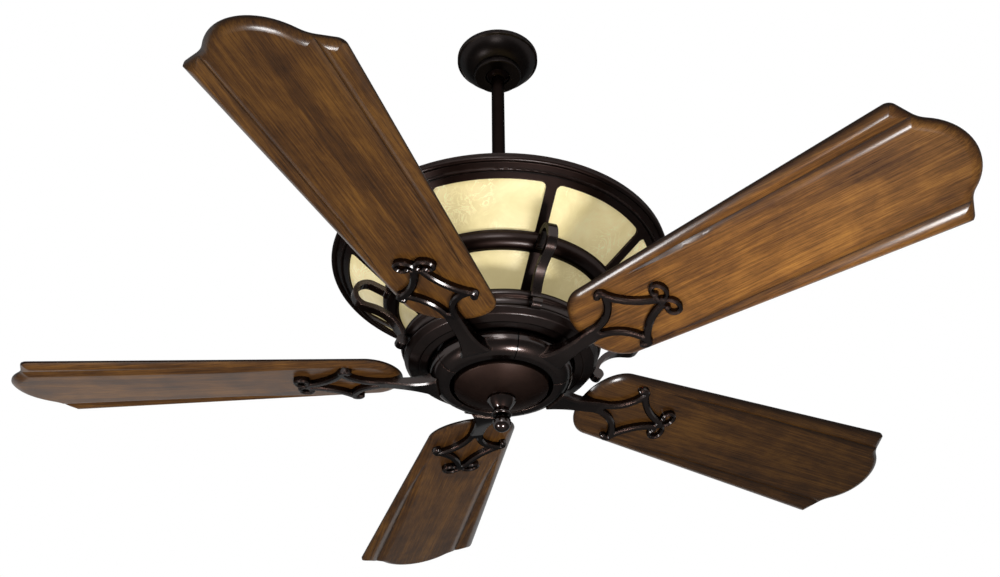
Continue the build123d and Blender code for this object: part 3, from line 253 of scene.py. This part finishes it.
class Tree:
    """A node tree that is written as expressions."""

    def __init__(self, node_tree):
        self.node_tree = node_tree
        node_tree.nodes.clear()

    def node(self, kind, settings=None, sockets=None, output=0):
        """Adds a node: its settings first, then the values or links of its sockets."""
        made = self.node_tree.nodes.new(kind)
        for name, value in (settings or {}).items():
            if name == "stops":
                self.set_stops(made.color_ramp, value)
            else:
                setattr(made, name, value)
        for name, value in (sockets or {}).items():
            if isinstance(value, Field):
                self.node_tree.links.new(value.socket, made.inputs[name])
            else:
                made.inputs[name].default_value = value
        return Field(self, made.outputs[output]) if made.outputs else made

    def set_stops(self, ramp, stops):
        """Gives a colour ramp its stops, each a place and a colour."""
        while len(ramp.elements) < len(stops):
            ramp.elements.new(1)
        for element, (place, colour) in zip(ramp.elements, stops):
            element.position = place
            element.color = (*colour, 1)

    def mapped(self, vector, turn=(0, 0, 0), stretch=(1, 1, 1), shift=(0, 0, 0)):
        """Coordinates that are turned, stretched and shifted."""
        return self.node("ShaderNodeMapping", None,
                         {"Vector": vector, "Rotation": turn, "Scale": stretch, "Location": shift})

    def place(self, turn=(0, 0, 0), stretch=(1, 1, 1)):
        """Object coordinates, turned and stretched."""
        return self.mapped(self.node("ShaderNodeTexCoord", output="Object"), turn, stretch)

    def along_z(self, vector):
        """The Z part of a place or a direction."""
        return self.node("ShaderNodeSeparateXYZ", None, {"Vector": vector}, output="Z")

    def noise(self, vector, scale=1.0, detail=3, rough=0.5, warp=0):
        """Cloudy noise that lies about a half."""
        sockets = {"Vector": vector, "Scale": scale, "Detail": detail, "Roughness": rough, "Distortion": warp}
        return self.node("ShaderNodeTexNoise", None, sockets)

    def mix(self, factor, first, second):
        """Two colours mixed."""
        colours = [c if isinstance(c, Field) else (*c, 1) for c in (first, second)]
        return self.node("ShaderNodeMix", {"data_type": "RGBA"},
                         {MIX_FACTOR: factor, MIX_FIRST: colours[0], MIX_SECOND: colours[1]}, MIX_RESULT)

    def shown(self):
        """1 where the camera, a reflection or glass shows the surroundings, 0 where they only light."""
        rays = ("Is Camera Ray", "Is Glossy Ray", "Is Transmission Ray")
        camera, glossy, clear = (self.node("ShaderNodeLightPath", output=ray) for ray in rays)
        return (camera + glossy + clear).clamp()

    def rounded(self, radius):
        """The surface's direction with its edges rounded over."""
        return self.node("ShaderNodeBevel", {"samples": 6}, {"Radius": radius})

    def edges(self, rounded):
        """1 on sharp edges and 0 on flat faces, softened as the rounded direction is."""
        plain = self.node("ShaderNodeNewGeometry", output="Normal")
        together = self.node("ShaderNodeVectorMath", {"operation": "DOT_PRODUCT"},
                             {0: rounded, 1: plain}, output="Value")
        return (1 - together).rise(0.004, 0.12)

    def bump(self, height, distance, rounded=None):
        """Fine relief, on the surface as it is or with its edges rounded over."""
        sockets = {"Height": height, "Distance": distance}
        if rounded:
            sockets["Normal"] = rounded
        return self.node("ShaderNodeBump", None, sockets)


def finish(name, build):
    """A material whose surface is the Principled sockets that build returns."""
    material = bpy.data.materials.new(name)
    material.use_nodes = True
    tree = Tree(material.node_tree)
    surface = tree.node("ShaderNodeBsdfPrincipled", None, build(tree))
    tree.node("ShaderNodeOutputMaterial", None, {"Surface": surface})
    return material


def coat(nodes, material):
    """Gives CAD nodes a finish."""
    for name in nodes:
        node = NODES[name]
        node.data.materials.clear()
        node.data.materials.append(material)


def bronze(name, settings, body, roughness, edge=SOFT_EDGE, wax=1.0, wax_roughness=None):
    """Dark bronze: mottled oil over brown metal under a clear wax, lighter on the edges, partly as wear and
    partly as a painted highlight.
    """

    def build(tree):
        place = tree.place()
        mottle = tree.noise(place, scale=38, detail=5, rough=0.6)
        grain = tree.noise(place, scale=900, detail=2)
        rounded = tree.rounded(edge)
        # Wear and painted highlight: the edges are mixed towards a lighter colour
        rub_and_glint = tree.edges(rounded) * tree.noise(place, scale=70).rise(0.35, 0.7)
        shade = tree.mix(mottle, toned(body, 0.72), toned(body, 1.3))
        return {
            "Base Color": tree.mix(rub_and_glint * 0.55, shade, tuple(settings.edge_wear_and_glint)),
            "Metallic": 1.0,
            "Roughness": roughness + mottle.swing(0.16) + grain.swing(0.06),
            "Specular Tint": BRONZE_GLINT,
            "Coat Weight": (0.85 + mottle * 0.3) * (settings.wax * wax),
            "Coat IOR": GLOSS_IOR,
            "Coat Roughness": wax_roughness or settings.wax_roughness,
            "Normal": tree.bump(grain, BRONZE_RELIEF, rounded),
        }

    return finish(name, build)


def steel(name, colour, roughness, layers):
    """Bare metal with faint stains and fine lines: few layers draw them out along Z, many stack them."""

    def build(tree):
        lines = tree.noise(tree.place(stretch=(1, 1, layers)), scale=420)
        stain = tree.noise(tree.place(), scale=45, detail=4)
        return {
            "Base Color": tree.mix(stain.rise(0.35, 0.7), toned(colour, 0.6), colour),
            "Metallic": 1.0,
            "Roughness": roughness + lines.swing(0.2),
            "Normal": tree.bump(lines, STEEL_RELIEF),
        }

    return finish(name, build)


def enamel(name, colour, roughness):
    """Plain coloured glaze with a slight orange peel."""

    def build(tree):
        peel = tree.noise(tree.place(), scale=650, detail=2)
        tone = tree.noise(tree.place(), scale=30, detail=4)
        return {
            "Base Color": tree.mix(tone, toned(colour, 0.88), colour),
            "Roughness": roughness + peel.swing(0.1),
            "Normal": tree.bump(peel, ENAMEL_RELIEF),
        }

    return finish(name, build)


def walnut(name, settings, angle, seed, tone):
    """Lacquered walnut with its grain along the blade, drawn darker on its edges, groove bottoms and tilted
    faces as stain and painted shade, from a plank that is paler or darker by a tone.
    """

    def build(tree):
        plank = tree.mapped(tree.place(turn=(0, 0, -angle)), shift=[seed * step for step in PLANK_STEP])
        figure = tree.noise(tree.mapped(plank, stretch=FIGURE_WAVES), detail=6, rough=0.66, warp=0.5)
        cloud = tree.noise(plank, scale=15, detail=5, rough=0.65, warp=0.3)
        strands = tree.noise(tree.mapped(plank, stretch=STRAND_WAVES), detail=5, rough=0.62, warp=0.5)
        pores = tree.noise(tree.mapped(plank, stretch=PORE_WAVES), rough=0.6)
        flecks = tree.noise(tree.mapped(plank, stretch=FLECK_WAVES), detail=2).rise(0.66, 0.78)
        growth = 0.5 + figure.swing(0.85) + cloud.swing(0.5) + strands.swing(0.6) + pores.swing(0.7)
        light = toned(settings.light, tone)
        wood = tree.node("ShaderNodeValToRGB", {"stops": (
            (0.2, toned(settings.dark, tone)),
            (0.5, toned(settings.middle, tone)),
            (0.85, light),
        )}, {"Fac": growth})
        flecked = tree.mix(flecks * 0.5, wood, light)
        dark_pores = pores.rise(0.58, 0.74)
        stained = tree.mix(dark_pores * 0.5, flecked, tuple(settings.dark))
        upright = abs(tree.along_z(tree.node("ShaderNodeTexCoord", output="Normal")))
        # Stain and painted shade: faces that tilt from flat, such as the sides and rounded edges, are drawn
        # darker, and so are edges and groove bottoms
        tilted_stain_and_shade = 1 - upright.rise(0.6, 0.94)
        wall = 1 - upright.rise(0.2, 0.5)
        rounded = tree.rounded(BLADE_EDGE)
        stain_and_shade = tree.edges(rounded) * 0.6 + tilted_stain_and_shade * 0.9
        return {
            "Base Color": tree.mix(stain_and_shade.clamp(), stained, toned(settings.dark, 0.7)),
            "Roughness": settings.roughness + strands.swing(0.12) + dark_pores * 0.1,
            "Specular IOR Level": 0.04,
            "Coat Weight": (0.12 - dark_pores * 0.045) * (1 - wall * 0.9),
            "Coat IOR": GLOSS_IOR,
            "Coat Roughness": 0.2,
            "Normal": tree.bump(pores * 0.6 + strands * 0.4, WOOD_RELIEF, rounded),
        }

    return finish(name, build)


def tea_glass(settings):
    """Tea-stained glass with pale clouds and wisps of veins, and a painted glow that grows brighter towards
    the bowl's rim.
    """

    def build(tree):
        place = tree.place()
        cloud = tree.noise(place, scale=16, detail=5, rough=0.6, warp=0.6)
        wander = tree.noise(place, scale=30, detail=6, rough=0.62, warp=2.2)
        patch = tree.noise(place, scale=14).rise(0.46, 0.62)
        wisp = (1 - abs(wander.swing(30)).clamp()) * patch
        pale = (cloud.rise(0.35, 0.75) * 0.4 + wisp * 0.6).clamp()
        tint = tree.mix(pale, tuple(settings.clear), tuple(settings.cloud))
        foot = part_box("lower_glass_1")[0].z
        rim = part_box("upper_glass_1")[1].z
        # Painted glow, weaker towards the foot and fuller towards the rim
        painted_glow_colour = tree.mix(tree.along_z(place).rise(foot, rim), toned(settings.clear, 0.72), tint)
        return {
            "Base Color": tint,
            "Roughness": 0.24 + cloud * 0.12,
            "Specular IOR Level": 0.3,
            "Emission Color": painted_glow_colour,
            "Emission Strength": settings.glow,
            "Normal": tree.bump(cloud + wisp * 0.3, GLASS_RELIEF),
        }

    return finish("tea_stained_glass", build)


def frosted_bulb():
    """Frosted lamp glass with faint clouds and a slight glow."""

    def build(tree):
        frost = tree.noise(tree.place(), scale=800, detail=2)
        cloud = tree.noise(tree.place(), scale=40)
        tint = tree.mix(cloud, WARM_FROST, PALE_FROST)
        return {
            "Base Color": tint,
            "Roughness": 0.38 + frost.swing(0.1),
            "Emission Color": tint,
            "Emission Strength": 0.1,
            "Normal": tree.bump(frost, FROST_RELIEF),
        }

    return finish("frosted_bulb_glass", build)


class FAN_OT_bronze(bpy.types.Operator):
    """Finish the bronze canopy, bowl frame, motor housing, irons and scrolls"""

    bl_idname = "fan.bronze"
    bl_label = "Bronze"

    def execute(self, context):
        settings = context.scene.fan_bronze
        body = tuple(settings.body)
        # Painted shade: a darker copy of the bronze body for the canopy and the rod pieces
        shaded_body = toned(body, 0.4)
        wrought = toned(body, 1.2)
        rough = settings.roughness
        irons = nodes_named("blade_iron") + nodes_named("scroll_bracket")
        coat(SPUN_BRONZE, bronze("spun_bronze", settings, body, rough, wax=1.3))
        coat(CANOPY_BRONZE, bronze("canopy_bronze", settings, shaded_body, rough, wax=0.55, wax_roughness=0.32))
        coat(SHADED_BRONZE, bronze("shaded_rod_bronze", settings, shaded_body, rough, wax=0.12))
        coat(CAST_BRONZE, bronze("cast_bronze", settings, body, rough + 0.04, wax=0.65))
        coat(irons, bronze("wrought_bronze", settings, wrought, roughness=0.26, edge=IRON_EDGE,
                           wax=1.7, wax_roughness=0.16))
        coat(("dome_cap",), bronze("cap_bronze", settings, tuple(settings.cap), rough + 0.08,
                                   wax=0.4, wax_roughness=0.32))
        coat(("finial",), bronze("finial_bronze", settings, body, roughness=0.3, edge=FINE_EDGE,
                                 wax=2.0, wax_roughness=0.06))
        coat(DARK_SCREWS, bronze("screw_bronze", settings, body, rough, edge=FINE_EDGE))
        return {"FINISHED"}


class FAN_OT_blades(bpy.types.Operator):
    """Finish the five walnut blades, each from its own plank and with its own tone, which is partly painted
    light and shade
    """

    bl_idname = "fan.blades"
    bl_label = "Blades"

    def execute(self, context):
        settings = context.scene.fan_walnut
        # Each tone is partly the plank and partly painted light and shade for that blade
        for seed, tone in enumerate(PLANK_AND_LIGHT_TONES, start=1):
            angle = FIRST_BLADE + math.tau * (seed - 1) / BLADES
            coat((f"blade_{seed}",), walnut(f"walnut_{seed}", settings, angle, seed, tone))
        return {"FINISHED"}


class FAN_OT_glass(bpy.types.Operator):
    """Finish the two rows of glass panes"""

    bl_idname = "fan.glass"
    bl_label = "Glass panes"

    def execute(self, context):
        coat(nodes_named("upper_glass") + nodes_named("lower_glass"), tea_glass(context.scene.fan_glass))
        return {"FINISHED"}


class FAN_OT_lamps(bpy.types.Operator):
    """Finish the lamp plate, sockets and bulbs inside the bowl"""

    bl_idname = "fan.lamps"
    bl_label = "Lamps"

    def execute(self, context):
        coat(("lamp_plate",), enamel("white_enamel", ENAMEL, roughness=0.35))
        coat(("lamp_sockets",), enamel("white_porcelain", PORCELAIN, roughness=0.2))
        coat(("bulbs",), frosted_bulb())
        return {"FINISHED"}


class FAN_OT_works(bpy.types.Operator):
    """Finish the motor, its bearings and the ceiling bracket"""

    bl_idname = "fan.works"
    bl_label = "Works"

    def execute(self, context):
        coat(ZINC_STEEL, steel("zinc_steel", ZINC, roughness=0.38, layers=0.1))
        coat(GROUND_STEEL, steel("ground_steel", STEEL, roughness=0.2, layers=0.02))
        coat(("rotor_upper",), steel("cast_aluminium", ALUMINIUM, roughness=0.5, layers=1))
        coat(("stator_core",), steel("iron_laminations", LAMINATED_IRON, roughness=0.5, layers=60))
        coat(("stator_winding",), steel("enamelled_copper", COPPER, roughness=0.28, layers=90))
        return {"FINISHED"}


class FAN_OT_stage(bpy.types.Operator):
    """Set the floor, the five lamps, the white surroundings and the camera"""

    bl_idname = "fan.stage"
    bl_label = "Stage"

    def execute(self, context):
        scene = context.scene
        settings = scene.fan_stage
        self.make_floor(scene, settings)
        self.make_lamp(scene, "left_lamp", settings.left_lamp, settings.left_power, settings.lamp_size)
        self.make_lamp(scene, "right_lamp", settings.right_lamp, settings.right_power, settings.lamp_size)
        self.make_lamp(scene, "front_lamp", settings.front_lamp, settings.front_power, settings.front_size)
        self.make_lamp(scene, "top_lamp", settings.top_lamp, settings.top_power, settings.top_size,
                       shine=False)
        beam = self.make_lamp(scene, "blade_lamp", settings.blade_lamp, settings.blade_power,
                              settings.blade_size, shine=False, aim=NEAR_BLADE)
        beam.spread = settings.blade_spread
        self.make_surroundings(scene, settings)
        self.make_camera(scene, settings)
        return {"FINISHED"}

    def make_floor(self, scene, settings):
        """A pale floor that is clear where it is seen from below."""
        mesh = bpy.data.meshes.new("floor")
        work = bmesh.new()
        bmesh.ops.create_grid(work, x_segments=1, y_segments=1, size=FLOOR_REACH,
                              matrix=Matrix.Translation((0, 0, -settings.floor_drop)))
        work.to_mesh(mesh)
        work.free()
        floor = bpy.data.objects.new("floor", mesh)
        scene.collection.objects.link(floor)
        material = bpy.data.materials.new("pale_floor")
        material.use_nodes = True
        tree = Tree(material.node_tree)
        top = tree.node("ShaderNodeBsdfDiffuse", None, {"Color": PALE_FLOOR})
        under = tree.node("ShaderNodeBsdfTransparent")
        behind = tree.node("ShaderNodeNewGeometry", output="Backfacing")
        surface = tree.node("ShaderNodeMixShader", None, {0: behind, 1: top, 2: under})
        tree.node("ShaderNodeOutputMaterial", None, {"Surface": surface})
        mesh.materials.append(material)

    def make_lamp(self, scene, name, place, power, size, shine=True, aim="dome_cap"):
        """A round lamp aimed at a piece, which shows in reflections if it shines."""
        light = bpy.data.lights.new(name, "AREA")
        light.shape = "DISK"
        light.size = size
        light.energy = power
        lamp = bpy.data.objects.new(name, light)
        lamp.location = place
        low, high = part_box(aim)
        target = (low + high) / 2
        lamp.rotation_euler = (target - lamp.location).to_track_quat("-Z", "Y").to_euler()
        lamp.visible_camera = False
        lamp.visible_glossy = shine
        scene.collection.objects.link(lamp)
        return light

    def make_surroundings(self, scene, settings):
        """A room that is white where it shows and fills in with a weaker light."""
        scene.world = bpy.data.worlds.new("white_studio")
        scene.world.use_nodes = True
        tree = Tree(scene.world.node_tree)
        fill = tree.node("ShaderNodeBackground", None, {"Color": WHITE, "Strength": settings.fill})
        white = tree.node("ShaderNodeBackground", None, {"Color": WHITE, "Strength": 1})
        surface = tree.node("ShaderNodeMixShader", None, {0: tree.shown(), 1: fill, 2: white})
        tree.node("ShaderNodeOutputWorld", None, {"Surface": surface})

    def make_camera(self, scene, settings):
        """A camera below the fan that looks up at it."""
        data = bpy.data.cameras.new("camera")
        data.lens = settings.lens
        camera = bpy.data.objects.new("camera", data)
        pitch, roll, yaw = settings.camera_turn
        aim = Euler((math.pi / 2 + pitch, 0, yaw)).to_matrix().to_4x4() @ Matrix.Rotation(roll, 4, "Z")
        camera.matrix_world = Matrix.Translation(settings.camera_place) @ aim
        scene.collection.objects.link(camera)
        scene.camera = camera
        scene.view_settings.view_transform = "Standard"


OPERATORS = (FAN_OT_bronze, FAN_OT_blades, FAN_OT_glass, FAN_OT_lamps, FAN_OT_works, FAN_OT_stage)
SETTINGS = {
    "fan_bronze": BronzeSettings,
    "fan_walnut": WalnutSettings,
    "fan_glass": GlassSettings,
    "fan_stage": StageSettings,
}


class FAN_PT_pieces(bpy.types.Panel):
    """The fan's pieces and their settings"""

    bl_label = "Ceiling fan"
    bl_idname = "FAN_PT_pieces"
    bl_space_type = "VIEW_3D"
    bl_region_type = "UI"
    bl_category = "Fan"

    def draw(self, context):
        for operator in OPERATORS:
            self.layout.operator(operator.bl_idname)
        for name, group in SETTINGS.items():
            column = self.layout.column()
            for prop in group.__annotations__:
                column.prop(getattr(context.scene, name), prop)


def register():
    for group in SETTINGS.values():
        bpy.utils.register_class(group)
    for operator in OPERATORS:
        bpy.utils.register_class(operator)
    bpy.utils.register_class(FAN_PT_pieces)
    for name, group in SETTINGS.items():
        setattr(bpy.types.Scene, name, PointerProperty(type=group))


def unregister():
    for name in SETTINGS:
        delattr(bpy.types.Scene, name)
    bpy.utils.unregister_class(FAN_PT_pieces)
    for operator in reversed(OPERATORS):
        bpy.utils.unregister_class(operator)
    for group in reversed(SETTINGS.values()):
        bpy.utils.unregister_class(group)


def main():
    register()
    for operator in OPERATORS:
        family, action = operator.bl_idname.split(".")
        getattr(getattr(bpy.ops, family), action)()


if __name__ == "__main__":
    main()
